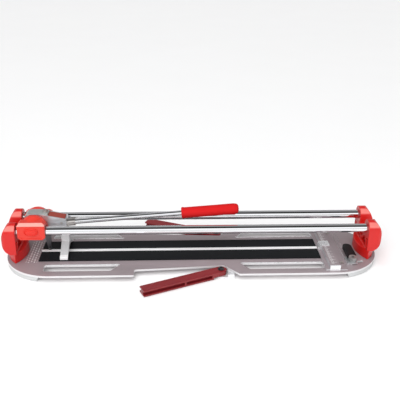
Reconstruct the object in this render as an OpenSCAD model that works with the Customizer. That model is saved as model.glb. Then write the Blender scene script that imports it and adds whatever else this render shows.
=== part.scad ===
// Manual tile cutter with two guide bars, a sliding carriage and swing-out side arms.
// Millimetres, +Z up. The origin is on the floor under the middle of the base.
// X runs along the guide bars, and -Y is the side that the user stands on.
// Positions along X are measured from a datum half the nominal base length in from the
// left end; centred() then moves every piece so that the tool's middle is at the origin.

/* [Base] */
// Nominal length of the base plate: twice the distance from the datum to the left end
base_length = 864; // [840:1:900]
// How much further out the right end stands than the left end
end_shift = 8; // [4:0.5:10]
// Width of the base plate
base_width = 226; // [222:1:232]
// Thickness of the base plate
plate_thickness = 5; // [4:0.5:6]
// Height of the underside of the base plate above the floor
plate_lift = 11; // [11:0.5:12]
// Left end of the tile pads
pad_start = -353; // [-354:1:-340]
// Right end of the tile pads, at the fence
pad_end = 302.4; // [290:0.1:302.4]
// Outer edge of each tile pad, from the middle line
pad_reach = 47; // [40:1:52]
// Thickness of the rubber pads
pad_thickness = 2.5; // [2:0.1:3]
// Width of the breaking spine between the pads
spine_width = 8; // [6:0.5:9]
// Height of the spine above the base plate
spine_height = 5; // [3.5:0.5:5]

/* [Guide bars] */
// Diameter of each guide bar
bar_d = 20; // [18:0.5:21]
// Distance between the bar centres
bar_spacing = 76; // [74:1:78]
// Height of the bar centres above the floor
bar_z = 90.5; // [88:0.5:92]

/* [End supports] */
// Distance from the middle to the inner face of each support
support_inner = 398; // [398:1:400]
// Distance from the middle to the outermost point of each support
support_outer = 431.5; // [430.5:0.5:432]
// Radius of the ears that hold the bars
ear_r = 20; // [18:0.5:21]
// Height of the solid foot of each support
support_foot = 25; // [22:1:27]

/* [Carriage] */
// Length of each slider block along the bars
slider_length = 62; // [58:1:64]
// Travel of the carriage to the right
carriage_travel = 580; // [400:5:580]
// Outer radius of the slider dome
dome_r = 31; // [29:0.5:31]
// Half the gap between the two sliders
slider_gap = 17; // [16.5:0.5:18]

/* [Handle] */
// Diameter of the handle tube
tube_d = 12; // [10:0.5:13]
// Slope of the handle tube at rest, in degrees
tube_slope = 4.5; // [3:0.5:6]
// Diameter of the hand grip
grip_d = 27; // [24:0.5:28]
// Length of the hand grip
grip_length = 134; // [120:1:140]
// Diameter of the pivot pin
pivot_d = 10; // [8:0.5:11]

/* [Scoring and breaking] */
// Diameter of the scoring wheel
wheel_d = 10; // [8:0.5:10]
// Half the span of the breaker foot
breaker_reach = 47; // [40:1:48]
// Width of the breaker foot along the bars
breaker_width = 18; // [14:1:18]

/* [Side arms] */
// Length of each side arm from its pivot
arm_length = 193; // [150:1:194]
// Width of each side arm
arm_width = 25; // [20:0.5:27]
// Angle that each arm stands out from the base, in degrees
arm_angle = 24; // [6:1:60]

/* [Fence] */
// Left edge of the fence
fence_x = 303; // [303:0.5:306]
// Height of the fence above the base plate
fence_height = 14; // [10:0.5:15]
// Length of the fence across the base
fence_length = 208; // [190:1:208]

/* [Hidden] */

$fn = 64;
cut = 1;
running = 0.03;
clearance = 0.1;
deck = plate_lift + plate_thickness;
end_r = base_width / 2;
end_x = base_length / 2 - end_r;
bar_y = bar_spacing / 2;

slot_inner = 65;
slot_outer = 92;
rim_height = 1;
rim_width = 2.5;

pivot_arm = [65, 90];
notch_start = -131.5;
notch_outline = [
    [notch_start, end_r + 7], [notch_start, 89], [69, 75], [73, 75], [106, end_r], [112, end_r + 7]
];
hanging_hole = [391, -64.5];
hanging_angle = 20;
hanging_reach = 4;
hanging_d = 8;

foot_wall = 8;
foot_start = 342;
foot_slant = 7;
foot_bottom = 1;
foot_rib_half = 102;
foot_boss = [[352, 84], [352, -84], [408, 0]];
foot_boss_d = 32;

beam_reach = 320;
beam_half = 28;
beam_bottom = 2;
beam_wall = 2.5;
beam_screw_x = [-280, -95, 95, 280];

foot_tip = [403, 56];
foot_in = 384.5;
foot_out = 428;
wall_tip = [402, 57];
cell_wall = 6;
wall_height = 97;
wall_corner = 11;
support_bolt = [405, 38];
bar_end = 408;
ear_valley = 52;
valley_r = 8;

fence_top = deck + fence_height;
fence_step = 8.5;
fence_body = 22.5;
fence_flange = 3;
fence_right = 352;
fence_screw = [345, 75];
cap_thickness = 3;

track_x = 363;
track_y = [-80, 92];
hub = [372, -67];
hub_r = 9.5;
hub_z = deck + 4.8;
hub_height = 9.8;
lever_width = 20;
lever_end = -2;

arm_top = deck - 1;
arm_bottom = 1;
arm_relief = 24;
arm_relief_z = 5;
arm_rib = 4;
arm_middle = 92;
arm_pocket = 9;
bracket_top = 4.5;
bracket_bottom = 0.5;
bracket_screw_x = [66, 86];
bracket_screw_y = 64;
bracket_step = 80.5;
bracket_right = 94.5;

slider_x = -362;
dome_x = -361;
slider_bottom = 75;
slider_top = 115.5;
slider_back_top = 106;
pin_end = 38;
slider_chamfer = 6;
slider_face = 54;
slider_step = 40;
bush_d = 24;
badge_z = 95;
bush_length = 20;
bridge_z = 70;
bridge_pin_x = [-377, -359];
pivot = [-362, 108];

head_half = 12;
head_top = 121.5;
cheek_in = 12.2;
cheek_out = 15.6;
yoke_end = -288.5;
tube_root = [yoke_end, 94];
grip_start = 266;

axle_at = [-334, deck + 5.7 + wheel_d / 2];
holder_half = 4;
breaker_at = [-299, 99];
breaker_foot_x = -304;
breaker_low = deck + pad_thickness + 1.3;
breaker_apex = deck + 29;
tip_length = 8;

// ---------- shared shapes ----------

// Copies a shape to both ends of the base
module both_ends() {
    right_end() children();
    mirror([1, 0, 0]) children();
}

module right_end() {
    translate([end_shift, 0, 0]) children();
}

module centred() {
    translate([-end_shift / 2, 0, 0]) children();
}

// Copies a shape to the front and the back
module both_sides() {
    children();
    mirror([0, 1, 0]) children();
}

// Outline of the base: a rectangle with a half circle at each end
module stadium(r, extra = 0) {
    translate([-end_x, -r]) square([2 * end_x + extra, 2 * r]);
    for (x = [-end_x, end_x + extra]) translate([x, 0]) circle(r = r, $fn = 128);
}

// Slot outline with round ends whose centres stand at plus and minus reach
module rounded_slot(reach, d) {
    square([2 * reach, d], center = true);
    for (side = [-1, 1]) translate([side * reach, 0]) circle(d = d);
}

// Round bar or hole with its axis along X, from x0 to x1
module along_x(d, x0, x1, y, z) {
    translate([x0, y, z]) rotate([0, 90, 0]) cylinder(d = d, h = x1 - x0);
}

// Round bar or hole with its axis along Y, from y0 to y1
module along_y(d, y0, y1, x, z) {
    translate([x, y1, z]) rotate([90, 0, 0]) cylinder(d = d, h = y1 - y0);
}

// Extrudes an outline drawn in X and Z from y0 to y1
module side_profile(y0, y1) {
    translate([0, y1, 0]) rotate([90, 0, 0]) linear_extrude(y1 - y0) children();
}

// Extrudes an outline drawn in Y and Z from x0 to x1
module end_profile(x0, x1) {
    translate([x0, 0, 0]) rotate([90, 0, 90]) linear_extrude(x1 - x0) children();
}

// Hex socket screw that stands on z with its head above
module socket_screw(d, head_d, head_h, reach) {
    difference() {
        union() {
            translate([0, 0, -reach]) cylinder(d = d, h = reach);
            cylinder(d = head_d, h = head_h);
        }
        translate([0, 0, head_h * 0.4]) cylinder(d = head_d * 0.5, h = head_h, $fn = 6);
    }
}

// ---------- base ----------

// One through slot: square at the base's end, slanted at its middle
module slot_outline(outer_end, inner_near, inner_far) {
    polygon([
        [outer_end, slot_inner], [inner_near, slot_inner],
        [inner_far, slot_outer], [outer_end, slot_outer]
    ]);
}

module slot_pair() {
    slot_outline(-336, -165, -184);
    slot_outline(fence_x - 1.5, 112, 131);
}

module base_plate() {
    color([0.66, 0.63, 0.65]) difference() {
        union() {
            translate([0, 0, plate_lift]) linear_extrude(plate_thickness) stadium(end_r, end_shift);
            both_sides() slot_rims();
        }
        translate([0, 0, plate_lift - cut]) linear_extrude(plate_thickness + 2 * cut + rim_height) {
            both_sides() slot_pair();
            both_sides() polygon(notch_outline);
        }
        translate([hanging_hole[0], hanging_hole[1], plate_lift - cut]) rotate([0, 0, hanging_angle])
            linear_extrude(plate_thickness + 2 * cut) rounded_slot(hanging_reach, hanging_d);
        both_ends() both_sides() plate_hole(support_bolt, 8);
        both_sides() plate_hole(fence_screw, 5);
        both_ends() for (p = foot_boss) plate_hole(p, 5);
        both_sides() for (x = bracket_screw_x) plate_hole([x, bracket_screw_y], 5);
        for (x = beam_screw_x) both_sides() plate_hole([x, beam_half - 8], 4);
    }
}

// Low rolled edge along the inner side of each slot
module slot_rims() {
    translate([-336, slot_inner - rim_width, deck - cut])
        cube([171, rim_width, rim_height + cut]);
    translate([112, slot_inner - rim_width, deck - cut])
        cube([fence_x - 1.5 - 112, rim_width, rim_height + cut]);
}

module plate_hole(p, d) {
    translate([p[0], p[1], plate_lift - cut]) cylinder(d = d + 2 * clearance, h = plate_thickness + 2 * cut);
}

// Moulded skirt that closes the round end and carries the plate
module end_foot() {
    difference() {
        union() {
            translate([0, 0, foot_bottom]) linear_extrude(plate_lift - foot_bottom) difference() {
                stadium(end_r - 1);
                stadium(end_r - 1 - foot_wall);
            }
            for (p = foot_boss)
                translate([p[0], p[1], foot_bottom + 2]) cylinder(d = foot_boss_d, h = plate_lift - foot_bottom - 2);
            translate([foot_start + foot_slant, -foot_rib_half, foot_bottom + 2])
                cube([4, 2 * foot_rib_half, plate_lift - foot_bottom - 2]);
        }
        translate([-base_length, -base_width, 0]) cube([base_length + foot_start, 2 * base_width, deck]);
        side_profile(-base_width, base_width)
            polygon([[foot_start, plate_lift], [foot_start, 0], [foot_start + foot_slant, 0]]);
        for (p = foot_boss) translate([p[0], p[1], 0]) cylinder(d = 5 + 2 * clearance, h = deck);
    }
}

module end_foot_left() {
    color([0.86, 0.86, 0.88]) mirror([1, 0, 0]) end_foot();
}

module end_foot_right() {
    color([0.86, 0.86, 0.88]) right_end() end_foot();
}

module rubber_feet() {
    color([0.12, 0.12, 0.12]) both_ends() for (p = foot_boss) translate(p) difference() {
        cylinder(d = 24, h = foot_bottom + 2);
        translate([0, 0, -cut]) cylinder(d = 10.4, h = 2 + cut);
        translate([0, 0, -cut]) cylinder(d = 5 + 2 * clearance, h = 6);
    }
}

module foot_screws() {
    color("silver") both_ends() for (p = foot_boss)
        translate([p[0], p[1], 2]) mirror([0, 0, 1]) socket_screw(5, 9.5, 1.8, deck - 4);
}

// Stiffening channel under the breaking line
module under_beam() {
    color([0.7, 0.7, 0.72]) difference() {
        translate([-beam_reach, -beam_half, beam_bottom])
            cube([2 * beam_reach, 2 * beam_half, plate_lift - beam_bottom]);
        translate([-beam_reach - cut, -beam_half + beam_wall, beam_bottom - cut])
            cube([2 * beam_reach + 2 * cut, 2 * (beam_half - beam_wall), plate_lift - beam_bottom - beam_wall + cut]);
        for (x = beam_screw_x, side = [-1, 1])
            translate([x, side * (beam_half - 8), 0]) cylinder(d = 4 + 2 * clearance, h = deck);
    }
}

module beam_screws() {
    color("silver") for (x = beam_screw_x, side = [-1, 1])
        translate([x, side * (beam_half - 8), plate_lift - beam_wall]) mirror([0, 0, 1])
            socket_screw(4, 8, 2.6, beam_wall + plate_thickness - 1);
}

module pad(side) {
    y0 = side > 0 ? spine_width / 2 + 0.3 : -pad_reach;
    translate([pad_start, y0, deck])
        cube([pad_end - pad_start, pad_reach - spine_width / 2 - 0.3, pad_thickness]);
}

module pad_front() {
    color([0.1, 0.1, 0.1]) pad(-1);
}

module pad_back() {
    color([0.1, 0.1, 0.1]) pad(1);
}

module cutting_spine() {
    color([0.93, 0.93, 0.95]) translate([pad_start, 0, 0]) end_profile(0, pad_end - pad_start) polygon([
        [-spine_width / 2, deck], [-spine_width / 2, deck + spine_height - 1],
        [-spine_width / 2 + 1, deck + spine_height], [spine_width / 2 - 1, deck + spine_height],
        [spine_width / 2, deck + spine_height - 1], [spine_width / 2, deck]
    ]);
}

module scale_plate() {
    color([0.7, 0.68, 0.7]) translate([-382, -52, deck]) cube([26, 104, 0.6]);
}

// ---------- end supports ----------

// Outline across the machine: two ears over a common base
module support_across() {
    difference() {
        union() {
            for (side = [-1, 1]) translate([side * bar_y, bar_z]) circle(r = ear_r);
            translate([-bar_y - ear_r, deck]) square([2 * (bar_y + ear_r), bar_z - deck]);
        }
        translate([-bar_y + ear_r, deck + ear_valley + valley_r]) square([2 * (bar_y - ear_r), bar_z]);
        translate([0, deck + ear_valley + valley_r])
            rounded_slot(bar_y - ear_r - valley_r, 2 * valley_r);
    }
}

// Outline along the machine: the outer face bulges and the top rounds off
module support_along() {
    polygon([
        [support_inner, deck], [support_inner, deck + 96], [support_inner + 10, deck + 96],
        [support_outer - 14, deck + 91], [support_outer - 8, deck + 83], [support_outer - 3, deck + 71],
        [support_outer, deck + 58], [support_outer, deck + 46], [support_outer - 3, deck + 38],
        [support_outer - 9, deck + 30], [support_outer - 18, deck + support_foot - 2], [support_outer - 18, deck]
    ]);
}

// Triangular cells between the ribs of the inner face
module support_cells() {
    low = deck + support_foot + 3;
    polygon([[0, low + 4], [12, deck + 45], [-12, deck + 45]]);
    for (side = [-1, 1]) {
        polygon([[side * 6, low], [side * 41, low], [side * 27, deck + 50]]);
        polygon([[side * 46, low], [side * 53, low], [side * 53, deck + 53], [side * 42, deck + 50]]);
    }
}

// Radius of the arc that runs from a corner point to the middle line at x
function bow_r(corner, x) = (pow(x - corner[0], 2) + pow(corner[1], 2)) / (2 * abs(x - corner[0]));

// Post whose plan ends in an arc with its outermost point at x
module bowed_post(corner, x, height, inset = 0) {
    r = bow_r(corner, x);
    side = x > corner[0] ? -1 : 1;
    translate([x + side * r, 0, deck]) cylinder(r = r - inset, h = height, $fn = 128);
}

// Plan of the wall above the foot, with rounded outer corners
module wall_plan() {
    reach = bar_y + ear_r;
    translate([support_inner, -reach]) square([support_outer - wall_corner - support_inner, 2 * reach]);
    translate([support_inner, wall_corner - reach])
        square([support_outer - support_inner, 2 * (reach - wall_corner)]);
    for (side = [-1, 1]) translate([support_outer - wall_corner, side * (reach - wall_corner)])
        circle(r = wall_corner);
}

module end_support() {
    difference() {
        union() {
            intersection() {
                end_profile(support_inner, support_outer) support_across();
                side_profile(-100, 100) support_along();
                translate([0, 0, deck + support_foot - 2]) linear_extrude(wall_height) wall_plan();
            }
            intersection() {
                bowed_post(foot_tip, foot_in, support_foot);
                bowed_post(foot_tip, foot_out, support_foot);
            }
        }
        intersection() {
            end_profile(support_inner - cut, support_outer - 12) support_cells();
            bowed_post(wall_tip, support_outer, wall_height, cell_wall);
        }
        for (side = [-1, 1]) {
            along_x(bar_d + 2 * running, support_inner - cut, bar_end, side * bar_y, bar_z);
            along_x(6 + 2 * clearance, bar_end - cut, support_outer + cut, side * bar_y, bar_z);
            along_x(12.6, bar_end + 4, support_outer + cut, side * bar_y, bar_z);
        }
        for (side = [-1, 1])
            translate([support_bolt[0], side * support_bolt[1], deck - cut])
                cylinder(d = 8 + 2 * clearance, h = 18 + cut);
    }
}

module support_left() {
    color([0.84, 0.1, 0.1]) mirror([1, 0, 0]) end_support();
}

module support_right() {
    color([0.84, 0.1, 0.1]) right_end() end_support();
}

module support_bolts() {
    color("silver") both_ends() both_sides()
        translate([support_bolt[0], support_bolt[1], plate_lift]) mirror([0, 0, 1]) socket_screw(8, 13, 6, 20);
}

module guide_bar(side) {
    difference() {
        along_x(bar_d, -bar_end, bar_end + end_shift, side * bar_y, bar_z);
        both_ends() along_x(6 + 2 * clearance, bar_end - 17, bar_end + cut, side * bar_y, bar_z);
    }
}

module guide_bar_front() {
    color([0.88, 0.89, 0.91]) guide_bar(-1);
}

module guide_bar_back() {
    color([0.88, 0.89, 0.91]) guide_bar(1);
}

module bar_end_bolts() {
    color("silver") both_ends() both_sides()
        translate([bar_end + 4, bar_y, bar_z]) rotate([0, 90, 0]) socket_screw(6, 12, 3.6, 18);
}

// ---------- fence and gauge ----------

module fence() {
    body_x = fence_x + fence_step;
    color([0.74, 0.74, 0.76]) difference() {
        side_profile(-fence_length / 2, fence_length / 2) polygon([
            [fence_x, deck], [fence_x, deck + 3.5], [body_x, deck + 4.5], [body_x, fence_top],
            [body_x + fence_body, fence_top], [body_x + fence_body, deck + fence_flange],
            [fence_right, deck + fence_flange], [fence_right, deck]
        ]);
        for (side = [-1, 1]) translate([fence_screw[0], side * fence_screw[1], deck - cut])
            cylinder(d = 5 + 2 * clearance, h = fence_flange + 2 * cut);
        translate([body_x - cut, -1.5, fence_top - 6]) cube([fence_body + 2 * cut, 3, 7]);
    }
}

module fence_end_caps() {
    color([0.88, 0.89, 0.9]) both_sides()
        translate([fence_x + fence_step - 0.5, -fence_length / 2 - cap_thickness, deck])
            cube([fence_body + 1, cap_thickness, fence_height + 0.5]);
}

// Run-out block for the scoring wheel, folded over the tile side of the fence
module fence_centre_block() {
    color([0.9, 0.9, 0.9]) difference() {
        side_profile(-12, 12) polygon([
            [fence_x + 1, deck + 4], [fence_x + 5, fence_top + 1.5],
            [fence_x + fence_step + 19, fence_top + 1.5], [fence_x + fence_step + 19, fence_top],
            [fence_x + fence_step, fence_top], [fence_x + fence_step, deck + 4.6]
        ]);
        translate([fence_x - cut, -1.5, deck]) cube([fence_step + 12, 3, 30]);
    }
}

module fence_screws() {
    color("silver") both_sides() translate([fence_screw[0], fence_screw[1], deck + fence_flange])
        socket_screw(5, 9, 1.9, fence_flange + plate_thickness - 1);
}

module gauge_track() {
    color([0.6, 0.58, 0.6]) for (side = [-1, 1])
        translate([track_x + side * 4 - 1.5, track_y[0], deck]) cube([3, track_y[1] - track_y[0], 2]);
}

// Foot that slides between the rails and carries the clamp
module gauge_slider() {
    color([0.85, 0.87, 0.88]) difference() {
        union() {
            translate([track_x - 2.1, hub[1] - 12, deck + 0.3]) cube([4.2, 30, 2.2]);
            translate([track_x - 6, hub[1] - 13, deck + 2.4]) cube([hub[0] + hub_r - track_x + 6, 32, 2]);
        }
        translate([hub[0], hub[1], deck]) cylinder(d = 5 + 2 * clearance, h = 10);
    }
}

module clamp_bolt() {
    color("silver") translate([hub[0], hub[1], 0]) difference() {
        union() {
            translate([0, 0, deck + 0.6]) cylinder(d = 5, h = 6);
            translate([0, 0, hub_z]) cylinder(d = 7, h = hub_height - 2);
            translate([0, 0, deck + 0.6]) cylinder(d = 6.4, h = 1.5);
        }
        translate([0, 0, hub_z + hub_height - 6]) cylinder(d = 4, h = 8, $fn = 6);
    }
}

module clamp_hub() {
    color([0.5, 0.51, 0.53]) translate([hub[0], hub[1], hub_z]) difference() {
        cylinder(r = hub_r, h = hub_height);
        translate([0, 0, -cut]) cylinder(d = 7 + 2 * running, h = hub_height + 2 * cut);
    }
}

module clamp_lever() {
    low = hub_z + 0.4;
    color([0.09, 0.09, 0.1]) difference() {
        union() {
            translate([hub[0] - lever_width / 2, hub[1] + hub_r - 2, low])
                cube([lever_width, lever_end - 10 - hub[1] - hub_r + 2, 9.4]);
            translate([hub[0], lever_end - 10, low]) cylinder(d = lever_width, h = 9.4);
        }
        translate([hub[0], hub[1], low - cut]) cylinder(r = hub_r, h = 12);
    }
}

// ---------- side arms ----------

// Arm drawn along -X from its pivot at the origin
module side_arm() {
    difference() {
        union() {
            translate([0, 0, arm_relief_z]) linear_extrude(arm_top - arm_relief_z) {
                circle(d = arm_width);
                translate([-arm_length, -arm_width / 2]) square([arm_length, arm_width]);
            }
            translate([-arm_length, -arm_width / 2, arm_bottom])
                cube([arm_length - arm_relief, arm_width, arm_top - arm_bottom]);
        }
        cylinder(d = 8 + 2 * running, h = deck);
        for (span = [[-arm_length - cut, -arm_middle - arm_rib], [-arm_middle, -arm_relief - arm_rib]])
            for (y0 = [-arm_width / 2 - cut, arm_width / 2 + cut - arm_pocket])
                translate([span[0], y0, arm_bottom + 3])
                    cube([span[1] - span[0], arm_pocket, arm_top - arm_bottom - 6]);
    }
}

// Puts an arm at its pivot on the front (-1) or the back (1)
module placed_arm(side) {
    translate([pivot_arm[0], side * pivot_arm[1], 0]) rotate([0, 0, -side * arm_angle]) side_arm();
}

module arm_front() {
    color([0.62, 0.1, 0.12]) placed_arm(-1);
}

module arm_back() {
    color([0.62, 0.1, 0.12]) placed_arm(1);
}

module arm_bracket() {
    difference() {
        union() {
            linear_extrude(bracket_top) difference() {
                translate([56, bracket_screw_y - 8]) square([bracket_right - 56, 51.5]);
                translate([56, 107.5]) circle(r = 6, $fn = 4);
            }
            translate([58, bracket_screw_y - 8, 0]) cube([bracket_right - 58, 14, plate_lift]);
            translate([bracket_step, bracket_screw_y - 8, 0])
                cube([bracket_right - bracket_step, 51.5, plate_lift]);
        }
        translate([0, 0, -cut]) cube([200, 200, bracket_bottom + cut]);
        translate([pivot_arm[0], pivot_arm[1], -cut]) cylinder(d = 8 + 2 * clearance, h = deck);
        for (x = bracket_screw_x) translate([x, bracket_screw_y, -cut]) cylinder(d = 5 + 2 * clearance, h = deck);
    }
}

module arm_bracket_front() {
    color([0.82, 0.8, 0.82]) mirror([0, 1, 0]) arm_bracket();
}

module arm_bracket_back() {
    color([0.82, 0.8, 0.82]) arm_bracket();
}

module bracket_screws() {
    color("silver") both_sides() for (x = bracket_screw_x)
        translate([x, bracket_screw_y, bracket_bottom + 0.2]) cylinder(d = 5, h = deck - 1.5 - bracket_bottom);
}

module arm_bolt() {
    translate([pivot_arm[0], pivot_arm[1], arm_top + 1.3]) {
        socket_screw(8, 11, 3, arm_top + 0.6);
        translate([0, 0, -1]) cylinder(d = 15, h = 1);
    }
}

module arm_bolt_front() {
    color("silver") mirror([0, 1, 0]) arm_bolt();
}

module arm_bolt_back() {
    color("silver") arm_bolt();
}

// ---------- carriage ----------

// Block outline in X and Z with cut corners
module block_outline(c, top) {
    x0 = slider_x - slider_length / 2;
    x1 = slider_x + slider_length / 2;
    polygon([
        [x0, slider_bottom + c], [x0 + c, slider_bottom], [x1 - c, slider_bottom], [x1, slider_bottom + c],
        [x1, top - c], [x1 - c, top], [x0 + c, top], [x0, top - c]
    ]);
}

// Back slider: a block on the outside and a domed cheek on the inside
module slider(top) {
    difference() {
        union() {
            side_profile(slider_step - 12, slider_face) block_outline(slider_chamfer, top);
            translate([dome_x, slider_gap, bar_z]) rotate([-90, 0, 0]) cylinder(r = dome_r, h = 9, $fn = 96);
            translate([dome_x, slider_gap + 9, bar_z]) rotate([-90, 0, 0])
                cylinder(r1 = dome_r, r2 = dome_r - 5, h = slider_step - slider_gap - 9, $fn = 96);
        }
        translate([dome_x - 50, 0, 0]) cube([100, 100, bridge_z]);
        along_x(bush_d, slider_x - 40, slider_x + 40, bar_y, bar_z);
        along_y(pivot_d, slider_gap - cut, pin_end + 1, pivot[0], pivot[1]);
        for (x = bridge_pin_x) along_y(6, slider_gap - cut, slider_gap + 8, x, bridge_z + 4);
    }
}

module slider_front() {
    color([0.9, 0.12, 0.08]) mirror([0, 1, 0]) slider(slider_top);
}

module slider_back() {
    color([0.9, 0.12, 0.08]) slider(slider_back_top);
}

// Plain oval badges on the outer faces
module slider_badges() {
    color([0.9, 0.2, 0.15]) both_sides() side_profile(slider_face, slider_face + 1.5)
        translate([slider_x, badge_z]) rounded_slot(8, 17);
}

module slider_bushes() {
    color([0.2, 0.2, 0.22]) both_sides() for (side = [-1, 1])
        translate([slider_x + side * (slider_length / 2 - bush_length / 2), bar_y, bar_z]) rotate([0, 90, 0])
            difference() {
                cylinder(d = bush_d, h = bush_length, center = true);
                cylinder(d = bar_d + 2 * running, h = bush_length + 2 * cut, center = true);
            }
}

module carriage_bridge() {
    color([0.55, 0.56, 0.58]) difference() {
        translate([-386, -slider_gap, bridge_z]) cube([36, 2 * slider_gap, 8]);
        for (x = bridge_pin_x) along_y(6, -slider_gap - cut, slider_gap + cut, x, bridge_z + 4);
    }
}

module bridge_pins() {
    color("silver") for (x = bridge_pin_x) along_y(6, -slider_gap - 8, slider_gap + 8, x, bridge_z + 4);
}

module pivot_pin() {
    color("silver") along_y(pivot_d, -pin_end, pin_end, pivot[0], pivot[1]);
}

// Spacer washers between the yoke cheeks and the sliders
module pivot_washers() {
    color("silver") both_sides() difference() {
        along_y(18, cheek_out + 0.3, slider_gap, pivot[0], pivot[1]);
        along_y(pivot_d + 2 * running, 0, 40, pivot[0], pivot[1]);
    }
}

// ---------- handle ----------

module handle_head() {
    x0 = pivot[0] - 21;
    color([0.62, 0.64, 0.66]) difference() {
        side_profile(-head_half, head_half) polygon([
            [x0 + 7, 91], [x0, 98], [x0, 114], [x0 + 7, head_top], [x0 + 53, head_top], [x0 + 53, 104],
            [x0 + 38, 91]
        ]);
        along_y(pivot_d + 4, -head_half - cut, head_half + cut, pivot[0], pivot[1]);
        translate([axle_at[0] - 9.1, -holder_half - 0.1, 0]) cube([14.2, 2 * holder_half + 0.2, 116]);
        translate([axle_at[0] - 3, 0, 100]) cylinder(d = 6 + 2 * clearance, h = 40);
    }
}

module pivot_bush() {
    color([0.72, 0.58, 0.3]) difference() {
        along_y(pivot_d + 4, -head_half, head_half, pivot[0], pivot[1]);
        along_y(pivot_d + 2 * running, -head_half - cut, head_half + cut, pivot[0], pivot[1]);
    }
}

// Outline of one cheek plate
module cheek_outline() {
    polygon([
        [-378, 98], [-378, 114], [-371, 121], [-350, 121], [yoke_end, 108],
        [yoke_end, 89], [-312, 86], [-368, 90]
    ]);
}

module handle_yoke() {
    color([0.8, 0.81, 0.84]) difference() {
        union() {
            both_sides() side_profile(cheek_in, cheek_out) cheek_outline();
            side_profile(-cheek_in, cheek_in)
                polygon([[yoke_end - 3, 89], [yoke_end, 89], [yoke_end, 107], [yoke_end - 3, 107]]);
        }
        along_y(pivot_d + 2 * running, -20, 20, pivot[0], pivot[1]);
        along_y(6, -20, 20, breaker_at[0], breaker_at[1]);
    }
}

module yoke_cover() {
    color([0.66, 0.22, 0.16]) side_profile(-cheek_in + 0.2, cheek_in - 0.2) polygon([
        [-329.5, 113], [yoke_end - 3.2, 106], [yoke_end - 3.2, 109], [-329.5, 116.5]
    ]);
}

// Places a shape along the sloping axis of the tube
module on_tube(x) {
    translate([tube_root[0], 0, tube_root[1]]) rotate([0, 90 - tube_slope, 0]) translate([0, 0, x]) children();
}

module tube_socket() {
    color([0.7, 0.71, 0.73]) difference() {
        union() {
            on_tube(2) cylinder(d = 18, h = 17);
            along_x(18, yoke_end, yoke_end + 6, 0, tube_root[1]);
        }
        on_tube(-2) cylinder(d = tube_d, h = 30);
        translate([yoke_end - 10, -20, 60]) cube([10, 40, 60]);
    }
}

module handle_tube() {
    color([0.85, 0.87, 0.88]) difference() {
        on_tube(2) cylinder(d = tube_d, h = grip_start + grip_length - 12);
        translate([yoke_end - 10, -20, 60]) cube([10, 40, 60]);
    }
}

module handle_grip() {
    color([0.86, 0.12, 0.1]) on_tube(grip_start) rotate_extrude() polygon([
        [tube_d / 2, 0], [grip_d / 2 - 2.5, 0], [grip_d / 2, 2], [grip_d / 2, 5], [grip_d / 2 - 0.8, 7],
        [grip_d / 2 - 0.8, grip_length - 12], [grip_d / 2 - 2, grip_length - 5],
        [tube_d / 2, grip_length - 5]
    ]);
}

module grip_end_cap() {
    color([0.8, 0.1, 0.09]) on_tube(grip_start + grip_length - 5) rotate_extrude() polygon([
        [0, 0], [grip_d / 2 - 2, 0], [grip_d / 2 - 3.6, 2.6], [grip_d / 2 - 7, 4.4], [0, 5]
    ]);
}

module wheel_holder() {
    color([0.35, 0.36, 0.38]) difference() {
        side_profile(-holder_half, holder_half) polygon([
            [axle_at[0] - 9, 60], [axle_at[0] - 9, 112], [axle_at[0] + 5, 112], [axle_at[0] + 5, 60],
            [axle_at[0] + 3.5, axle_at[1] - 3], [axle_at[0] - 2.5, axle_at[1] - 3]
        ]);
        translate([axle_at[0] - 20, -1.35, 0]) cube([40, 2.7, axle_at[1] + wheel_d / 2 + 1]);
        along_y(3, -10, 10, axle_at[0], axle_at[1]);
        translate([axle_at[0] - 3, 0, 100]) cylinder(d = 6 + 2 * clearance, h = 20);
    }
}

// Hex bolt that clamps the wheel holder in the head
module holder_bolt() {
    color([0.78, 0.77, 0.7]) translate([axle_at[0] - 3, 0, 0]) {
        translate([0, 0, 102]) cylinder(d = 6, h = head_top - 101);
        translate([0, 0, head_top]) cylinder(d = 11.5, h = 4, $fn = 6);
    }
}

module wheel_axle() {
    color("silver") along_y(3, -holder_half, holder_half, axle_at[0], axle_at[1]);
}

module scoring_wheel() {
    color([0.3, 0.31, 0.33]) translate([axle_at[0], 0, axle_at[1]]) rotate([90, 0, 0]) rotate_extrude()
        polygon([[1.5 + running, -1], [3.5, -1], [wheel_d / 2, 0], [3.5, 1], [1.5 + running, 1]]);
}

// Stem with two wings that press on the tile either side of the score line
module breaker_foot() {
    wing_end = breaker_reach - tip_length;
    slope = (breaker_apex - breaker_low - 6) / breaker_reach;
    end_low = breaker_low + slope * tip_length;
    color([0.8, 0.81, 0.83]) difference() {
        union() {
            end_profile(breaker_foot_x, breaker_foot_x + breaker_width) polygon([
                [-wing_end, end_low], [-wing_end, end_low + 5.5], [-8, breaker_apex + 3],
                [-8, 79], [8, 79], [8, breaker_apex + 3], [wing_end, end_low + 5.5], [wing_end, end_low],
                [5, breaker_apex - 8], [-5, breaker_apex - 8]
            ]);
            side_profile(-8, 8) polygon([
                [breaker_foot_x, 78], [breaker_at[0] - 6, 99], [breaker_at[0] + 6, 99],
                [breaker_at[0] + 6, 84], [breaker_foot_x + breaker_width, 78]
            ]);
            along_y(12, -8, 8, breaker_at[0], breaker_at[1]);
        }
        along_y(6 + 2 * running, -10, 10, breaker_at[0], breaker_at[1]);
    }
}

module breaker_tips() {
    wing_end = breaker_reach - tip_length;
    slope = (breaker_apex - breaker_low - 6) / breaker_reach;
    end_low = breaker_low + slope * tip_length;
    color([0.93, 0.93, 0.92]) both_sides() end_profile(breaker_foot_x, breaker_foot_x + breaker_width) polygon([
        [wing_end, end_low], [wing_end, end_low + 5.5], [breaker_reach - 1, breaker_low + 6],
        [breaker_reach, breaker_low + 5], [breaker_reach, breaker_low]
    ]);
}

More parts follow.
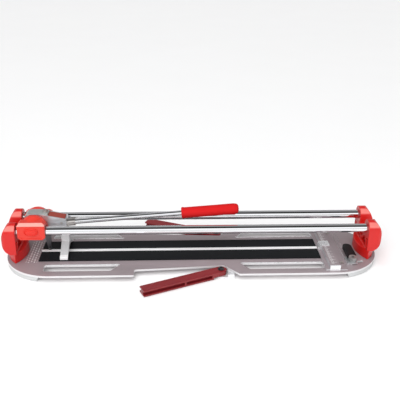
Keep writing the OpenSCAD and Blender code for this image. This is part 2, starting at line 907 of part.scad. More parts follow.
module breaker_pin() {
    color("silver") along_y(6, -cheek_out, cheek_out, breaker_at[0], breaker_at[1]);
}

// Torsion spring round the breaker pin, between the stem and one cheek
module breaker_spring() {
    color([0.5, 0.5, 0.52]) difference() {
        along_y(11, 8.4, cheek_in, breaker_at[0], breaker_at[1]);
        along_y(6 + 2 * clearance, 8, cheek_in + cut, breaker_at[0], breaker_at[1]);
    }
}

centred() base_plate();
centred() end_foot_left();
centred() end_foot_right();
centred() rubber_feet();
centred() foot_screws();
centred() under_beam();
centred() beam_screws();
centred() pad_front();
centred() pad_back();
centred() cutting_spine();
centred() scale_plate();
centred() support_left();
centred() support_right();
centred() support_bolts();
centred() guide_bar_front();
centred() guide_bar_back();
centred() bar_end_bolts();
centred() fence();
centred() fence_end_caps();
centred() fence_centre_block();
centred() fence_screws();
centred() gauge_track();
centred() gauge_slider();
centred() clamp_bolt();
centred() clamp_hub();
centred() clamp_lever();
centred() arm_bracket_front();
centred() arm_bracket_back();
centred() bracket_screws();
centred() arm_bolt_front();
centred() arm_bolt_back();
centred() arm_front();
centred() arm_back();
centred() slider_front();
centred() slider_back();
centred() slider_badges();
centred() slider_bushes();
centred() carriage_bridge();
centred() bridge_pins();
centred() pivot_pin();
centred() pivot_washers();
centred() handle_head();
centred() pivot_bush();
centred() handle_yoke();
centred() yoke_cover();
centred() tube_socket();
centred() handle_tube();
centred() handle_grip();
centred() grip_end_cap();
centred() wheel_holder();
centred() holder_bolt();
centred() wheel_axle();
centred() scoring_wheel();
centred() breaker_foot();
centred() breaker_tips();
centred() breaker_pin();
centred() breaker_spring();
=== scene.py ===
import bmesh
import bpy
from math import cos, pi, radians, sin, tan
from mathutils import Matrix, Vector


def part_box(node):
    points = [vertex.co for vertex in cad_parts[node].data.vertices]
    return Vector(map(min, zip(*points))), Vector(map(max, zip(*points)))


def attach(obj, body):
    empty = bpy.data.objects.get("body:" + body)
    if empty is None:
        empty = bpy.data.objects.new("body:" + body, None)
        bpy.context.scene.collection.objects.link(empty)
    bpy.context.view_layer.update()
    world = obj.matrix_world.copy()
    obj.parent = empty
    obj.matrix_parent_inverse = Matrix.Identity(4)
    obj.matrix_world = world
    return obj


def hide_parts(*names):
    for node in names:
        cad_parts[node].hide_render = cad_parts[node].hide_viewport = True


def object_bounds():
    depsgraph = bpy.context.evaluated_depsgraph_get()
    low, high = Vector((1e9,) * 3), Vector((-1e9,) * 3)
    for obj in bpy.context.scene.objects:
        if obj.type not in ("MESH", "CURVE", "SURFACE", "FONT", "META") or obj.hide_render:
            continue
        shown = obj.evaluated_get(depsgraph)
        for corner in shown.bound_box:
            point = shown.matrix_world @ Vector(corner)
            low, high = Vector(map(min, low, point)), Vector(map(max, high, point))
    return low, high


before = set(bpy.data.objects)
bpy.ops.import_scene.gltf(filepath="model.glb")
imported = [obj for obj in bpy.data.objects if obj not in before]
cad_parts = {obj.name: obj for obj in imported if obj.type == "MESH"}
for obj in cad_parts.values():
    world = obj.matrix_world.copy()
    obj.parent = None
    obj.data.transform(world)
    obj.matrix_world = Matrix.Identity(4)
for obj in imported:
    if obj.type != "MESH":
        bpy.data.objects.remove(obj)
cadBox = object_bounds()
scene = bpy.context.scene
print("frame loaded:", len(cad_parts), "nodes")


# shader helpers ----
class Wire:
    # a socket that can be used in plain arithmetic
    def __init__(self, finish, socket):
        self.finish = finish
        self.socket = socket

    def sum(self, operation, first, second):
        return self.finish.node("ShaderNodeMath", {"operation": operation}, {0: first, 1: second})

    def __add__(self, other):
        return self.sum("ADD", self, other)

    def __radd__(self, other):
        return self.sum("ADD", other, self)

    def __sub__(self, other):
        return self.sum("SUBTRACT", self, other)

    def __rsub__(self, other):
        return self.sum("SUBTRACT", other, self)

    def __mul__(self, other):
        return self.sum("MULTIPLY", self, other)

    def __rmul__(self, other):
        return self.sum("MULTIPLY", other, self)

    def __truediv__(self, other):
        return self.sum("DIVIDE", self, other)

    def __gt__(self, other):
        return self.sum("GREATER_THAN", self, other)

    def __lt__(self, other):
        return self.sum("LESS_THAN", self, other)

    def __abs__(self):
        return self.sum("ABSOLUTE", self, 0)

    def __mod__(self, other):
        return self.sum("FLOORED_MODULO", self, other)


class Finish:
    # one surface finish: a material and the tools to wire it
    def __init__(self, name, **constants):
        self.material = bpy.data.materials.new(name)
        self.material.use_nodes = True
        self.tree = self.material.node_tree
        self.shader = self.tree.nodes["Principled BSDF"]
        for socket, value in constants.items():
            self.shader.inputs[socket.replace("_", " ")].default_value = value

    def node(self, kind, settings=None, inputs=None, output=0):
        made = self.tree.nodes.new(kind)
        for key, value in (settings or {}).items():
            if key == "stops":
                self.setStops(made.color_ramp, value)
            else:
                setattr(made, key, value)
        for key, value in (inputs or {}).items():
            if isinstance(value, Wire):
                self.tree.links.new(value.socket, made.inputs[key])
            else:
                made.inputs[key].default_value = value
        return Wire(self, made.outputs[output])

    def setStops(self, ramp, stops):
        while len(ramp.elements) < len(stops):
            ramp.elements.new(1.0)
        for element, (place, colour) in zip(ramp.elements, stops):
            element.position = place
            element.color = (*colour, 1.0)

    def place(self, stretch=(1, 1, 1)):
        # object coordinates in metres, stretched along the grain
        spot = self.node("ShaderNodeTexCoord", output="Object")
        return self.node("ShaderNodeMapping", {}, {"Vector": spot, "Scale": stretch})

    def axis(self, letter):
        spot = self.node("ShaderNodeTexCoord", output="Object")
        return self.node("ShaderNodeSeparateXYZ", {}, {"Vector": spot}, letter)

    def grain(self, scale, detail=3.0, stretch=(1, 1, 1), roughness=0.55):
        inputs = {"Vector": self.place(stretch), "Scale": scale, "Detail": detail, "Roughness": roughness}
        return self.node("ShaderNodeTexNoise", {"noise_dimensions": "3D"}, inputs, "Fac")

    def ease(self, wire, low, high, outLow=0.0, outHigh=1.0):
        inputs = {"Value": wire, "From Min": low, "From Max": high, "To Min": outLow, "To Max": outHigh}
        return self.node("ShaderNodeMapRange", {"interpolation_type": "SMOOTHSTEP"}, inputs)

    def blend(self, factor, first, second):
        inputs = {0: factor}
        inputs[6] = first if isinstance(first, Wire) else (*first, 1.0)
        inputs[7] = second if isinstance(second, Wire) else (*second, 1.0)
        return self.node("ShaderNodeMix", {"data_type": "RGBA"}, inputs, 2)

    def colour(self, wire):
        self.tree.links.new(wire.socket, self.shader.inputs["Base Color"])

    def rough(self, wire):
        self.tree.links.new(wire.socket, self.shader.inputs["Roughness"])

    def relief(self, height, distance, strength=1.0):
        inputs = {"Height": height, "Distance": distance, "Strength": strength}
        normal = self.node("ShaderNodeBump", {}, inputs)
        self.tree.links.new(normal.socket, self.shader.inputs["Normal"])


def enamelSkin(name, deep, bright, rough, coat=0.15, speck=0.08, shine=0.4):
    # the shared coat, roughness and relief; the caller wires the colour
    finish = Finish(name, Coat_Weight=coat, Coat_Roughness=0.18, Specular_IOR_Level=shine)
    cloud = finish.grain(26, 4)
    fine = finish.grain(900, 2)
    finish.rough(rough + 0.16 * (cloud - 0.5) + 0.08 * fine)
    finish.relief(finish.grain(420, 2) * 0.7 + fine * 0.3, 0.00012, 0.35)
    return finish, finish.blend(cloud * (1 - speck) + fine * speck, deep, bright), cloud, fine


def enamelFinish(name, deep, bright, rough=0.3, coat=0.35, speck=0.08, shine=0.4):
    # thick glossy enamel or moulded gloss plastic with a faint orange peel
    finish, red, cloud, fine = enamelSkin(name, deep, bright, rough, coat, speck, shine)
    finish.colour(red)
    return finish.material


def metalFinish(name, dark, light, rough, grainAlong=(1, 1, 1), scratch=0.12, depth=0.00005, metal=1.0):
    # bare metal with a directional grain and handling marks
    finish = Finish(name, Metallic=metal)
    lines = finish.grain(240, 3, grainAlong)
    cloud = finish.grain(18, 4)
    finish.colour(finish.blend(0.55 * lines + 0.45 * cloud, dark, light))
    finish.rough(rough + scratch * (lines - 0.5) + 0.5 * scratch * (cloud - 0.5))
    finish.relief(lines, depth, 0.5)
    return finish.material


def mouldedFinish(name, dark, light, rough=0.55, scale=1400, depth=0.00012, shine=0.5):
    # spark-eroded plastic or rubber skin
    finish = Finish(name, Specular_IOR_Level=shine)
    fine = finish.grain(scale, 2)
    cloud = finish.grain(22, 3)
    finish.colour(finish.blend(0.6 * cloud + 0.4 * fine, dark, light))
    finish.rough(rough + 0.12 * (fine - 0.5) + 0.1 * (cloud - 0.5))
    finish.relief(fine, depth, 0.6)
    return finish.material


def paintedBase(finish):
    # satin lilac-grey paint with a metallic fleck; side masks the steep faces, which the callers paint paler
    # as a painted highlight on the edges
    fleck = finish.grain(1500, 2)
    cloud = finish.grain(9, 4)
    base = finish.blend(0.55 * fleck + 0.45 * cloud, (0.265, 0.212, 0.226), (0.45, 0.382, 0.402))
    normal = finish.node("ShaderNodeNewGeometry", output="Normal")
    upward = finish.node("ShaderNodeSeparateXYZ", {}, {"Vector": normal}, "Z")
    # steep faces; the callers paint them paler as a painted highlight
    side = 1 - finish.ease(abs(upward), 0.55, 0.93)
    finish.rough(0.42 + 0.12 * (fleck - 0.5) + 0.1 * (cloud - 0.5))
    finish.relief(fleck, 0.00006, 0.4)
    return base, side


def plateFinish():
    finish = Finish("platePaint", Metallic=0.25, Coat_Weight=0.1, Coat_Roughness=0.3)
    base, side = paintedBase(finish)
    # the steep side faces are painted pale grey as a painted highlight
    finish.colour(finish.blend(side, base, (0.74, 0.73, 0.74)))
    return finish.material


def rulerFinish(name, start, pitch, reach, span):
    # painted strip with plain graduation lines; every fifth line is longer
    finish = Finish(name, Metallic=0.3)
    base, side = paintedBase(finish)
    along = finish.axis("Y")
    across = finish.axis("X") - start
    thin = abs((along / pitch) % 1.0 - 0.5) > 0.3
    thick = abs((along / (5 * pitch)) % 1.0 - 0.5) > 0.455
    row = (across > 0) * (across < reach[0]) * thin
    tall = (across > 0) * (across < reach[1]) * thick
    wearAndSheen = finish.ease(finish.grain(620, 2), 0.34, 0.52)
    lines = finish.node("ShaderNodeMath", {"operation": "MAXIMUM"}, {0: row, 1: tall})
    mark = lines * wearAndSheen * (abs(along) < span)
    inked = finish.blend(mark, base, (0.95, 0.94, 0.94))
    # the steep side faces are painted paler grey as a painted highlight
    finish.colour(finish.blend(side, inked, (0.60, 0.60, 0.62)))
    return finish.material


def dashFinish(name):
    # rows of short light strokes, each row stepped against the next
    finish = Finish(name, Metallic=0.25)
    base, side = paintedBase(finish)
    column = finish.axis("X") / 0.0066
    step = finish.node("ShaderNodeMath", {"operation": "FLOOR"}, {0: column})
    row = finish.axis("Y") / 0.0105 + step * 0.37
    bar = (abs(column % 1.0 - 0.5) < 0.24) * (abs(row % 1.0 - 0.5) < 0.34)
    wearAndSheen = finish.ease(finish.grain(520, 2), 0.30, 0.5)
    finish.colour(finish.blend(bar * wearAndSheen, base, (0.82, 0.80, 0.81)))
    return finish.material


def highlightBandFinish(name, deep, bright, edge, side, face, ridge, depth):
    # gloss plastic with a pale band painted along its top front corner as a painted highlight
    finish, red, _, fine = enamelSkin(name, deep, bright, 0.34)
    outward = finish.axis("Y") * side
    near = finish.ease(outward, face - depth - 0.0006, face - depth + 0.0002)
    tall = finish.ease(finish.axis("Z"), ridge - depth - 0.0006, ridge - depth + 0.0002)
    # edge is the painted highlight colour; near and tall mask the top front corner
    finish.colour(finish.blend(near * tall * (0.75 + 0.25 * fine), red, edge))
    return finish.material


def crownHighlightFinish(name, deep, bright, edge, start, full):
    # enamel with a painted highlight: paler where the faces slope up and forward near the top of the casting
    finish, red, cloud, _ = enamelSkin(name, deep, bright, 0.36)
    normal = finish.node("ShaderNodeNewGeometry", output="Normal")
    upward = finish.node("ShaderNodeSeparateXYZ", {}, {"Vector": normal}, "Z")
    forward = finish.node("ShaderNodeSeparateXYZ", {}, {"Vector": normal}, "Y")
    # painted highlight mask from the face direction, limited to the top by height
    highlightSlope = finish.ease(abs(forward) * 0.72 + upward * 0.69, start, full)
    tall = finish.ease(finish.axis("Z"), 0.086, 0.096)
    finish.colour(finish.blend(highlightSlope * tall * (0.5 + 0.3 * cloud), red, edge))
    return finish.material


fenceLow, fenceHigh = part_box("fence")
finishes = {
    "plate": plateFinish(),
    "fence": rulerFinish("fencePaint", fenceLow[0] + 0.0125, 0.0026, (0.007, 0.013), 0.098),
    "dashes": dashFinish("dashPaint"),
    # the red casting's third colour is a painted highlight for its upper front crowns
    "redCastingAndHighlight": crownHighlightFinish("redCastingAndHighlight", (0.50, 0.005, 0.005), (0.70, 0.016, 0.012),
                                (0.90, 0.30, 0.26), 0.90, 0.98),
    "redPlastic": enamelFinish("redPlastic", (0.62, 0.012, 0.006), (0.80, 0.030, 0.012), 0.34, 0.15),
    "redGrip": enamelFinish("redGrip", (0.48, 0.006, 0.008), (0.64, 0.014, 0.014), 0.54, 0.0, 0.2, 0.15),
    "armRed": enamelFinish("armRed", (0.17, 0.008, 0.012), (0.28, 0.016, 0.020), 0.36, 0.2),
    "coverRed": enamelFinish("coverRed", (0.24, 0.030, 0.018), (0.38, 0.060, 0.036), 0.4, 0.1, 0.5),
    "chrome": metalFinish("chrome", (0.84, 0.85, 0.87), (0.93, 0.94, 0.95), 0.05, (0.4, 6, 6), 0.02,
                          0.000003),
    "zinc": metalFinish("zinc", (0.60, 0.57, 0.54), (0.80, 0.77, 0.74), 0.34),
    "pressed": metalFinish("pressed", (0.66, 0.67, 0.69), (0.84, 0.85, 0.87), 0.30, (0.3, 4, 4), 0.10,
                           0.00005, 0.8),
    "galvanised": metalFinish("galvanised", (0.62, 0.62, 0.63), (0.80, 0.80, 0.80), 0.40, (1, 1, 0.4), 0.15,
                              0.0001, 0.45),
    "bright": metalFinish("bright", (0.84, 0.84, 0.86), (0.94, 0.94, 0.95), 0.28, (0.3, 4, 4), 0.08,
                          0.00005, 0.6),
    "cast": metalFinish("castGrey", (0.46, 0.48, 0.47), (0.70, 0.72, 0.70), 0.46, (1, 1, 1), 0.2, 0.00025,
                        0.7),
    "dark": metalFinish("darkSteel", (0.10, 0.10, 0.11), (0.22, 0.22, 0.23), 0.38),
    "bronze": metalFinish("bronze", (0.45, 0.30, 0.13), (0.60, 0.43, 0.20), 0.4),
    "rubber": mouldedFinish("padRubber", (0.006, 0.007, 0.008), (0.013, 0.014, 0.016), 0.62, 900, 0.0002,
                            0.16),
    "blackPlastic": mouldedFinish("blackPlastic", (0.005, 0.005, 0.006), (0.013, 0.012, 0.013), 0.42, 1400,
                                  0.00012, 0.2),
    "skirt": mouldedFinish("skirtPlastic", (0.50, 0.51, 0.51), (0.62, 0.63, 0.63), 0.45),
    "hubMetal": metalFinish("hubMetal", (0.30, 0.31, 0.31), (0.52, 0.53, 0.52), 0.3, (1, 1, 1), 0.15,
                            0.0001, 0.7),
    # the cutting spine is coloured near-white as a painted highlight of its lit top
    "spinePaintedHighlight": metalFinish("spinePaintedHighlight", (0.90, 0.90, 0.91), (0.98, 0.98, 0.98), 0.35, (0.3, 4, 4), 0.08,
                              0.00004, 0.1),
    "tipSteel": metalFinish("tipSteel", (0.88, 0.88, 0.88), (0.97, 0.97, 0.97), 0.40, (1, 1, 1), 0.12,
                            0.00005, 0.2),
}
print("finishes made:", len(finishes))


# mesh helpers ----
def roundedOutline(corners, steps=6):
    # (x, y, radius) corners to a closed outline with arcs
    outline = []
    count = len(corners)
    for i, (x, y, radius) in enumerate(corners):
        before = Vector(corners[i - 1][:2]) - Vector((x, y))
        after = Vector(corners[(i + 1) % count][:2]) - Vector((x, y))
        half = before.angle(after) / 2
        if radius <= 0 or half < 0.02 or half > pi / 2 - 0.02:
            outline.append((x, y))
            continue
        back = min(radius / tan(half), 0.49 * before.length, 0.49 * after.length)
        bend = back * tan(half)
        middle = Vector((x, y)) + (before.normalized() + after.normalized()).normalized() * bend / sin(half)
        first = Vector((x, y)) + before.normalized() * back - middle
        last = Vector((x, y)) + after.normalized() * back - middle
        turn = first.angle_signed(last)
        for k in range(steps + 1):
            angle = -turn * k / steps
            outline.append(tuple(middle + Matrix.Rotation(angle, 2) @ first))
    return outline


def settle(piece, *changes):
    # runs modifiers and keeps their result as the piece's own mesh
    for kind, settings in changes:
        change = piece.modifiers.new(kind.lower(), kind)
        for key, value in settings.items():
            setattr(change, key, value)
    bpy.context.view_layer.update()
    ready = piece.evaluated_get(bpy.context.evaluated_depsgraph_get())
    mesh = bpy.data.meshes.new_from_object(ready)
    piece.modifiers.clear()
    piece.data = mesh


def shade(piece, angle=34):
    # smooth faces with sharp edges past the angle
    made = bmesh.new()
    made.from_mesh(piece.data)
    for face in made.faces:
        face.smooth = True
    for edge in made.edges:
        edge.smooth = not edge.is_manifold or edge.calc_face_angle(0) < radians(angle)
    made.to_mesh(piece.data)
    made.free()


def fromRings(name, rings, caps=True):
    # skins a list of rings that have the same number of points
    made = bmesh.new()
    loops = [[made.verts.new(p) for p in ring] for ring in rings]
    for low, high in zip(loops, loops[1:]):
        for i in range(len(low)):
            j = (i + 1) % len(low)
            made.faces.new((low[i], low[j], high[j], high[i]))
    if caps:
        made.faces.new(loops[0][::-1])
        made.faces.new(loops[-1])
    bmesh.ops.recalc_face_normals(made, faces=made.faces)
    mesh = bpy.data.meshes.new(name)
    made.to_mesh(mesh)
    made.free()
    piece = bpy.data.objects.new(name, mesh)
    scene.collection.objects.link(piece)
    return piece


def swap(plane, a, b, c):
    # a, b in the named plane and c along its normal
    return {"XY": (a, b, c), "XZ": (a, c, b), "YZ": (c, a, b)}[plane]


def slab(name, outline, plane, low, high):
    return fromRings(name, [[swap(plane, a, b, c) for a, b in outline] for c in (low, high)])


def cutter(name, outline, plane, low, high):
    made = slab(name, outline, plane, low, high)
    made.hide_render = True
    return made


def carve(piece, *cutters):
    for tool in cutters:
        settle(piece, ("BOOLEAN", {"operation": "DIFFERENCE", "solver": "EXACT", "object": tool}))
    for tool in cutters:
        bpy.data.objects.remove(tool)


def soften(piece, width, segments=3, angle=28):
    settings = {"width": width, "segments": segments, "limit_method": "ANGLE", "angle_limit": radians(angle)}
    settings["miter_outer"] = "MITER_ARC"
    settle(piece, ("BEVEL", settings))


def ringOf(count, radius, start=0.0):
    return [(radius * cos(start + 2 * pi * k / count),
             radius * sin(start + 2 * pi * k / count)) for k in range(count)]


def turned(name, profile, origin, direction, count=64):
    # lathe work: (radius, distance) pairs turned about a line
    origin = Vector(origin)
    spin = Vector((0, 0, 1)).rotation_difference(Vector(direction)).to_matrix()
    rings = []
    for radius, distance in profile:
        rings.append([origin + spin @ Vector((x, y, distance)) for x, y in ringOf(count, radius)])
    return fromRings(name, rings)


def castCopy(name, nodeName, voxel, smooth, keep=0.35):
    # a cast look: the node's shape with soft fillets all over
    piece = bpy.data.objects.new(name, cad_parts[nodeName].data.copy())
    scene.collection.objects.link(piece)
    settle(piece, ("REMESH", {"mode": "VOXEL", "voxel_size": voxel, "use_smooth_shade": True}))
    settle(piece, ("SMOOTH", {"factor": 0.5, "iterations": smooth}))
    settle(piece, ("DECIMATE", {"ratio": keep}))
    shade(piece, 60)
    return piece


def fit(piece, body, finish, stands=()):
    piece.data.materials.clear()
    piece.data.materials.append(finishes[finish] if isinstance(finish, str) else finish)
    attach(piece, body)
    if stands:
        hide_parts(*stands)
    return piece


def mid(nodeName):
    low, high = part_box(nodeName)
    return (Vector(low) + Vector(high)) / 2


def low(nodeName):
    return Vector(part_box(nodeName)[0])


def high(nodeName):
    return Vector(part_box(nodeName)[1])


# camera and light ----
view = {"target": (0.0157, 0.0, 0.1473), "distance": 1.463, "azimuth": 2.6, "elevation": 24, "roll": 0.6,
        "lens": 56.96}


def placeCamera():
    turn, tilt, roll = radians(view["azimuth"]), radians(view["elevation"]), radians(view["roll"])
    ahead = Vector((cos(tilt) * sin(turn), cos(tilt) * cos(turn), -sin(tilt)))
    flat = Vector((cos(turn), -sin(turn), 0))
    above = flat.cross(ahead)
    right = flat * cos(roll) + above * sin(roll)
    up = above * cos(roll) - flat * sin(roll)
    lens = bpy.data.cameras.new("viewLens")
    lens.lens = view["lens"]
    lens.sensor_width = 36
    camera = bpy.data.objects.new("viewCamera", lens)
    camera.matrix_world = Matrix((right, up, -ahead)).transposed().to_4x4()
    camera.location = Vector(view["target"]) - ahead * view["distance"]
    scene.collection.objects.link(camera)
    scene.camera = camera


def hang(light, place, aim):
    lamp = bpy.data.objects.new(light.name, light)
    lamp.location = place
    lamp.rotation_euler = (Vector(aim) - Vector(place)).to_track_quat("-Z", "Y").to_euler()
    scene.collection.objects.link(lamp)
    return lamp


def softbox(name, place, aim, size, power):
    light = bpy.data.lights.new(name, "AREA")
    light.shape = "RECTANGLE"
    light.size, light.size_y = size
    light.energy = power
    return hang(light, place, aim)


def hazySun(name, place, power, spread):
    # far soft light that the polished parts do not mirror
    light = bpy.data.lights.new(name, "SUN")
    light.energy = power
    light.angle = radians(spread)
    hang(light, place, (0, 0, 0)).visible_glossy = False


def studioSky():
    # a white room in front, a dark gap overhead and a grey back, for the chrome to mirror
    world = bpy.data.worlds.new("studioSky")
    scene.world = world
    world.use_nodes = True
    tree = world.node_tree
    spot = tree.nodes.new("ShaderNodeTexCoord")
    split = tree.nodes.new("ShaderNodeSeparateXYZ")
    turn = tree.nodes.new("ShaderNodeMath")
    turn.operation = "ARCTAN2"
    scale = tree.nodes.new("ShaderNodeMapRange")
    ramp = tree.nodes.new("ShaderNodeValToRGB")
    tree.links.new(spot.outputs["Generated"], split.inputs[0])
    tree.links.new(split.outputs["Z"], turn.inputs[0])
    back = tree.nodes.new("ShaderNodeMath")
    back.operation = "MULTIPLY"
    back.inputs[1].default_value = -1
    tree.links.new(split.outputs["Y"], back.inputs[0])
    tree.links.new(back.outputs[0], turn.inputs[1])
    # angle from the front horizon over the top: 0 is front, half is straight up, 1 is the back
    scale.inputs["From Min"].default_value = 0
    scale.inputs["From Max"].default_value = pi
    tree.links.new(turn.outputs[0], scale.inputs["Value"])
    stops = [(0.0, 0.50), (0.03, 0.30), (0.06, 1.05), (0.24, 1.20), (0.27, 0.75), (0.30, 0.03),
             (0.47, 0.005), (0.53, 0.22), (0.70, 0.40), (0.86, 0.30), (1.0, 0.42)]
    elements = ramp.color_ramp.elements
    while len(elements) < len(stops):
        elements.new(1.0)
    for element, (place, value) in zip(elements, stops):
        element.position = place
        element.color = (value, value, value * 1.01, 1)
    tree.links.new(scale.outputs[0], ramp.inputs["Fac"])
    tree.links.new(ramp.outputs["Color"], tree.nodes["Background"].inputs["Color"])
    tree.nodes["Background"].inputs["Strength"].default_value = 1.0


def layFloor():
    made = bmesh.new()
    bmesh.ops.create_grid(made, x_segments=8, y_segments=8, size=14)
    mesh = bpy.data.meshes.new("paleFloor")
    made.to_mesh(mesh)
    made.free()
    floor = bpy.data.objects.new("paleFloor", mesh)
    floor.location.z = cadBox[0][2] - 0.0005
    scene.collection.objects.link(floor)
    finish = Finish("paleFloor", Roughness=0.9, Specular_IOR_Level=0.1, Emission_Strength=0.05)
    finish.shader.inputs["Emission Color"].default_value = (1, 1, 1, 1)
    finish.colour(finish.blend(finish.grain(3, 2), (0.93, 0.93, 0.93), (0.95, 0.95, 0.95)))
    mesh.materials.append(finish.material)


lamps = {"box": {"place": (-0.7, -2.4, 1.9), "aim": (0, 0, 0.05), "size": (2.2, 1.2), "power": 34},
         "sun": {"place": (-0.4, -0.7, 2.6), "power": 1.8, "spread": 60}}

placeCamera()
studioSky()
softbox("frontBox", **lamps["box"]).visible_glossy = False
hazySun("ceilingGlow", **lamps["sun"])
layFloor()
scene.view_settings.view_transform = "Standard"
print("camera, light and floor placed")


# base plate ----
plate = {"lip": 0.0009, "corner": 0.004, "slotInner": 0.065, "slotOuter": 0.092, "hangReach": 0.004,
         "hangRadius": 0.004, "hangTurn": 20, "hangSpot": (0.387, -0.0645), "notchCorner": 0.006,
         "over": 0.01, "leftSlot": (-0.340, -0.169, -0.188), "rightSlot": (0.108, 0.127), "fenceGap": 0.0009,
         "notchStart": -0.1355, "notchFloor": 0.089, "lugFloor": 0.075, "lugSpan": (0.065, 0.069),
         "notchEnd": (0.102, 0.108)}
slotLip = {"radius": 0.0013, "inset": 0.0008, "sink": 0.0002, "reach": 0.010, "start": 0.012, "turn": 0.004,
           "fade": 0.003}


def stadiumOutline(radius, left, right, count=44):
    outline = []
    for k in range(count + 1):
        angle = -pi / 2 + pi * k / count
        outline.append((right + radius * cos(angle), radius * sin(angle)))
    for k in range(count + 1):
        angle = pi / 2 + pi * k / count
        outline.append((left + radius * cos(angle), radius * sin(angle)))
    return outline


def mirrored(outline):
    return [(x, -y) for x, y in outline][::-1]


def slotOutline(end, near, far):
    corner = plate["corner"]
    points = [(end, plate["slotInner"], corner), (near, plate["slotInner"], corner),
              (far, plate["slotOuter"], 2 * corner), (end, plate["slotOuter"], corner)]
    return roundedOutline(points)


def makeSlotLip(name, end, near, side, top):
    # rolled lip along the inner side of a slot
    inner = plate["slotInner"]
    away = slotLip["reach"] if end < near else -slotLip["reach"]
    run = [(end, inner + slotLip["start"]), (end, inner + slotLip["turn"]), (end + 0.3 * away, inner),
           (near - 0.4 * away, inner), (near, inner + slotLip["fade"])]
    path = bpy.data.curves.new(name, "CURVE")
    path.dimensions = "3D"
    path.bevel_depth = slotLip["radius"]
    path.bevel_resolution = 4
    line = path.splines.new("POLY")
    line.points.add(len(run) - 1)
    for point, (x, y) in zip(line.points, run):
        point.co = (x, side * (y - slotLip["inset"]), top - slotLip["sink"], 1)
    lip = bpy.data.objects.new(name, path)
    scene.collection.objects.link(lip)
    fit(lip, "base", "bright")


def makePlate():
    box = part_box("base_plate")
    radius, bottom, over = box[1][1], box[0][2], plate["over"]
    top = low("pad_front").z
    fenceEdge = high("pad_front").x
    spans = {"left": plate["leftSlot"], "right": (fenceEdge - plate["fenceGap"], *plate["rightSlot"])}
    outline = stadiumOutline(radius, box[0][0] + radius, box[1][0] - radius)
    piece = slab("basePlate", outline, "XY", bottom, top)
    wide = radius + over
    start, lug, (end, final) = plate["notchStart"], plate["lugFloor"], plate["notchEnd"]
    notch = [(start, wide, 0), (start, plate["notchFloor"], plate["notchCorner"])]
    notch += [(x, lug, 0.004) for x in plate["lugSpan"]] + [(end, radius, 0), (final, wide, 0)]
    outlines = [slotOutline(*span) for span in spans.values()] + [roundedOutline(notch)]
    cutters = []
    for index, outline in enumerate(outlines):
        cutters.append(cutter(f"cutBack{index}", outline, "XY", bottom - over, top + over))
        cutters.append(cutter(f"cutFront{index}", mirrored(outline), "XY", bottom - over, top + over))
    turn = Matrix.Rotation(radians(plate["hangTurn"]), 2)
    spot, reach = Vector(plate["hangSpot"]), plate["hangReach"]
    hole = [tuple(turn @ Vector(p) + spot) for p in stadiumOutline(plate["hangRadius"], -reach, reach, 12)]
    cutters.append(cutter("cutHang", hole, "XY", bottom - over, top + over))
    carve(piece, *cutters)
    soften(piece, plate["lip"], 3, 40)
    shade(piece, 30)
    fit(piece, "base", "plate", ["base_plate"])
    for side, tag in ((-1, "front"), (1, "back")):
        for which, (end, near, _) in spans.items():
            makeSlotLip(f"slotLip_{which}_{tag}", end, near, side, top)


makePlate()
print("base plate made")


# end supports ----
support = {"voxel": 0.0009, "smooth": 4}


def makeSupports():
    for tag in ("left", "right"):
        piece = castCopy(f"endSupport_{tag}", f"support_{tag}", support["voxel"], support["smooth"])
        fit(piece, "base", "redCastingAndHighlight", [f"support_{tag}"])


makeSupports()
print("end supports made")


# guide bars ----
bar = {"bevel": 0.0012, "count": 128}


def makeBars():
    for tag in ("front", "back"):
        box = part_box(f"guide_bar_{tag}")
        radius = (box[1][2] - box[0][2]) / 2
        long, edge = box[1][0] - box[0][0], bar["bevel"]
        profile = [(radius - edge, 0), (radius, edge), (radius, long - edge), (radius - edge, long)]
        origin = (box[0][0], mid(f"guide_bar_{tag}").y, mid(f"guide_bar_{tag}").z)
        piece = turned(f"guideBar_{tag}", profile, origin, (1, 0, 0), bar["count"])
        shade(piece, 30)
        fit(piece, "base", "chrome", [f"guide_bar_{tag}"])


makeBars()
print("guide bars made")


# carriage sliders ----
# the last slider colour is a painted highlight for the top front corner
slider = {"foot": 0.075, "ridge": {"front": 0.1155, "back": 0.106}, "voxel": 0.0008, "smooth": 3,
          "border": 0.0045, "chamfer": 0.0055, "recess": 0.0007, "topCut": 0.0062,
          "bossReach": 0.0075, "bossRadius": 0.0085, "over": 0.001, "cutOut": 0.002,
          "bossSteps": [(0, -0.001), (0, 0.0008), (0.0007, 0.0014), (0.0022, 0.0014), (0.0028, 0.0005),
                        (0.0036, 0.0005), (0.0042, 0.0011), (0.0056, 0.0012)],
          "deep": (0.62, 0.022, 0.012), "bright": (0.78, 0.050, 0.028), "wearAndSheen": (0.95, 0.38, 0.33)}


def ovalRing(centre, reach, radius, depth, count=16):
    # oval outline in X and Z at one depth along Y
    return [(centre.x + x, depth, centre.z + z) for x, z in stadiumOutline(radius, -reach, reach, count)]


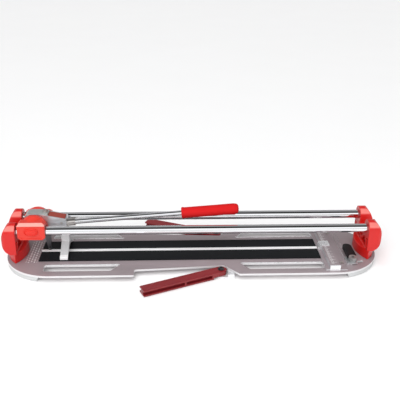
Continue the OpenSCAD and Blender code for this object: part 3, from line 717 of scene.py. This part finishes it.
def makeSliders():
    for side, tag in ((-1, "front"), (1, "back")):
        piece = castCopy(f"slider_{tag}", f"slider_{tag}", slider["voxel"], slider["smooth"])
        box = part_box(f"slider_{tag}")
        face = box[0][1] if side < 0 else box[1][1]
        rim, chamfer, over, cut = slider["border"], slider["chamfer"], slider["over"], slider["topCut"]
        left, right = box[0][0] + rim, box[1][0] - rim
        ridge = slider["ridge"][tag]
        bottom, top = slider["foot"] + rim, ridge - cut
        corners = [(left, bottom), (right, bottom), (right, top), (left, top)]
        field = roundedOutline([(x, z, chamfer) for x, z in corners], 4)
        depths = sorted((face - side * slider["recess"], face + side * slider["cutOut"]))
        tool = cutter(f"cutField_{tag}", field, "XZ", *depths)
        wedge = [(face + side * over, ridge - cut - over), (face + side * over, ridge + over),
                 (face - side * (cut + over), ridge + over)]
        carve(piece, tool, cutter(f"cutTop_{tag}", wedge, "YZ", box[0][0] - over, box[1][0] + over))
        shade(piece, 38)
        # the slider paint carries a painted highlight band on its top front corner
        coat = highlightBandFinish(f"sliderPaintAndHighlight_{tag}", slider["deep"], slider["bright"], slider["wearAndSheen"],
                            side, abs(face), ridge, cut)
        fit(piece, "carriage", coat, [f"slider_{tag}"])
        centre, reach, radius = mid("slider_badges"), slider["bossReach"], slider["bossRadius"]
        rings = [ovalRing(centre, reach, radius - inset, face + side * rise)
                 for inset, rise in slider["bossSteps"]]
        boss = fromRings(f"sliderBoss_{tag}", rings)
        shade(boss, 30)
        fit(boss, "carriage", "redPlastic", ["slider_badges"])


makeSliders()
print("sliders made")


# handle head and clamp lever ----
casting = {"voxel": 0.0006, "smooth": 3, "ribs": 9, "ribRadius": 0.0012, "ribStart": 0.020,
           "ribPitch": 0.0036, "ribReach": 0.0078}


def makeCastings():
    head = castCopy("leverHead", "handle_head", casting["voxel"], casting["smooth"])
    fit(head, "handle", "cast", ["handle_head"])
    lever = castCopy("clampLever", "clamp_lever", casting["voxel"], casting["smooth"])
    fit(lever, "clamp", "blackPlastic", ["clamp_lever"])
    centre, reach, radius = mid("clamp_lever").x, casting["ribReach"], casting["ribRadius"]
    for k in range(casting["ribs"]):
        y = low("clamp_lever").y + casting["ribStart"] + casting["ribPitch"] * k
        rib = slab(f"leverRib_{k}", ringOf(16, radius), "YZ", centre - reach, centre + reach)
        rib.data.transform(Matrix.Translation((0, y, high("clamp_lever").z - radius)))
        shade(rib, 40)
        fit(rib, "clamp", "blackPlastic")


makeCastings()
print("castings made")


# remaining nodes keep their shape and take a finish ----
kept = {
    "end_foot_left": ("skirt", 0.0008), "end_foot_right": ("skirt", 0.0008),
    "rubber_feet": ("blackPlastic", 0.0006), "foot_screws": ("zinc", 0.0002),
    "under_beam": ("pressed", 0.0006), "beam_screws": ("zinc", 0.0002), "pad_front": ("rubber", 0.0005),
    "pad_back": ("rubber", 0.0005), "cutting_spine": ("spinePaintedHighlight", 0.0004),
    "scale_plate": ("dashes", 0.0001), "support_bolts": ("zinc", 0.0003), "bar_end_bolts": ("zinc", 0.0003),
    "fence": ("fence", 0.0004), "fence_end_caps": ("bright", 0.0004),
    "fence_centre_block": ("bright", 0.0004), "fence_screws": ("zinc", 0.0002),
    "gauge_track": ("plate", 0.0003), "gauge_slider": ("pressed", 0.0003), "clamp_bolt": ("dark", 0.0003),
    "clamp_hub": ("hubMetal", 0.0006), "arm_bracket_front": ("bright", 0.0004),
    "arm_bracket_back": ("bright", 0.0004), "bracket_screws": ("zinc", 0.0002),
    "arm_bolt_front": ("dark", 0.0003), "arm_bolt_back": ("dark", 0.0003), "arm_front": ("armRed", 0.0008),
    "arm_back": ("armRed", 0.0008), "slider_bushes": ("blackPlastic", 0.0004),
    "carriage_bridge": ("pressed", 0.0005), "bridge_pins": ("zinc", 0.0003), "pivot_pin": ("zinc", 0.0004),
    "pivot_washers": ("zinc", 0.0002), "pivot_bush": ("bronze", 0.0003), "handle_yoke": ("pressed", 0.0005),
    "yoke_cover": ("coverRed", 0.0004), "tube_socket": ("zinc", 0.0005), "handle_tube": ("chrome", 0.0005),
    "handle_grip": ("redGrip", 0.0006), "grip_end_cap": ("redGrip", 0.0005),
    "wheel_holder": ("dark", 0.0005), "holder_bolt": ("zinc", 0.0004), "wheel_axle": ("zinc", 0.0002),
    "scoring_wheel": ("dark", 0.0001), "breaker_foot": ("galvanised", 0.0006),
    "breaker_tips": ("tipSteel", 0.0006), "breaker_pin": ("zinc", 0.0003),
    "breaker_spring": ("dark", 0.0002),
}


def dressNodes():
    for nodeName, (finish, edge) in kept.items():
        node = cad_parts[nodeName]
        if not node.material_slots:
            node.data.materials.append(finishes[finish])
        for holder in node.material_slots:
            holder.material = finishes[finish]
        bevel = node.modifiers.new("edge", "BEVEL")
        bevel.width = edge
        bevel.segments = 2
        bevel.limit_method = "ANGLE"
        bevel.angle_limit = radians(40)


dressNodes()
print("kept nodes dressed:", len(kept))
